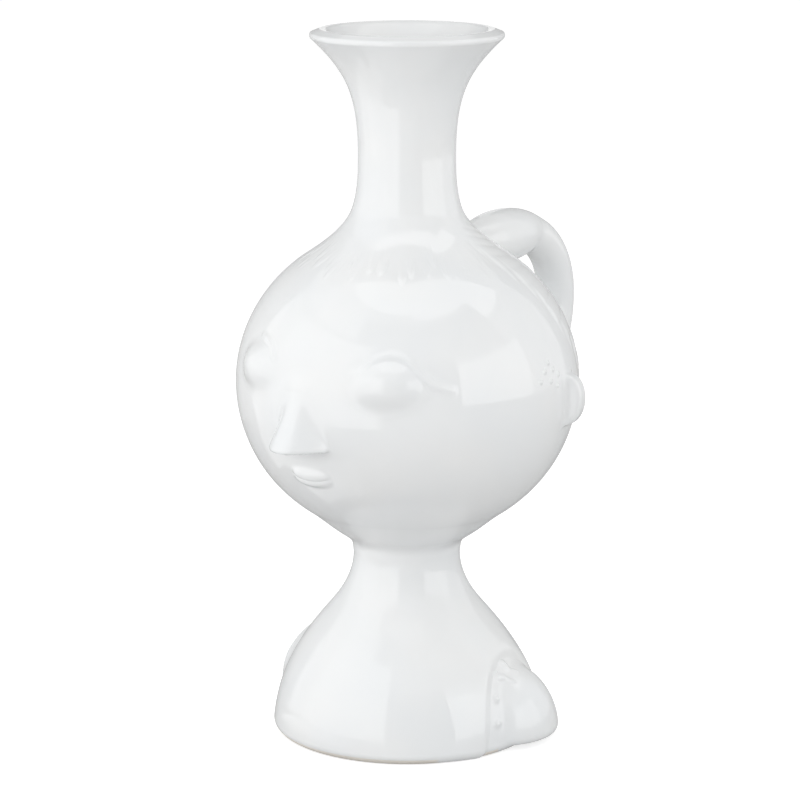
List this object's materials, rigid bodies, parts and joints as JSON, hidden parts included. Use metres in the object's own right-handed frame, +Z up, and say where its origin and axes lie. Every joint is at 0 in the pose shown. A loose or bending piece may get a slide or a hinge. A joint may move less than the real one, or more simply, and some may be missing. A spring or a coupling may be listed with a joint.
{
  "type": "face vase",
  "caption": "White glazed porcelain vase: globe head with a face in relief, flared neck above, bell foot below and a loop handle behind.",
  "frame": {"origin": "on the turning axis, at the level of the foot ring's underside, where the vase stands", "axes": "+Z up the turning axis, -Y the way the face looks, +Y towards the handle, +X the face's own left"},
  "size_m": [0.154, 0.2035, 0.3002],
  "materials": {
    "porcelain_glaze": "gloss",
    "biscuit_porcelain": "matte"
  },
  "bodies": {
    "root": {"flared_neck": "porcelain_glaze", "head_globe": "porcelain_glaze", "foot_bell": "porcelain_glaze", "hair_knot": "porcelain_glaze", "handle_loop": "porcelain_glaze", "nose": "porcelain_glaze", "left_eye": "porcelain_glaze", "right_eye": "porcelain_glaze", "left_eyelid": "porcelain_glaze", "right_eyelid": "porcelain_glaze", "upper_lip": "porcelain_glaze", "lower_lip": "porcelain_glaze", "left_ear": "porcelain_glaze", "right_ear": "porcelain_glaze", "left_temple_beads": "porcelain_glaze", "right_temple_beads": "porcelain_glaze", "hair_fringe": "porcelain_glaze", "back_hair": "porcelain_glaze", "left_sleeve": "porcelain_glaze", "right_sleeve": "porcelain_glaze", "left_hand": "porcelain_glaze", "right_hand": "porcelain_glaze", "foot_ring": "biscuit_porcelain"}
  },
  "joints": []
}
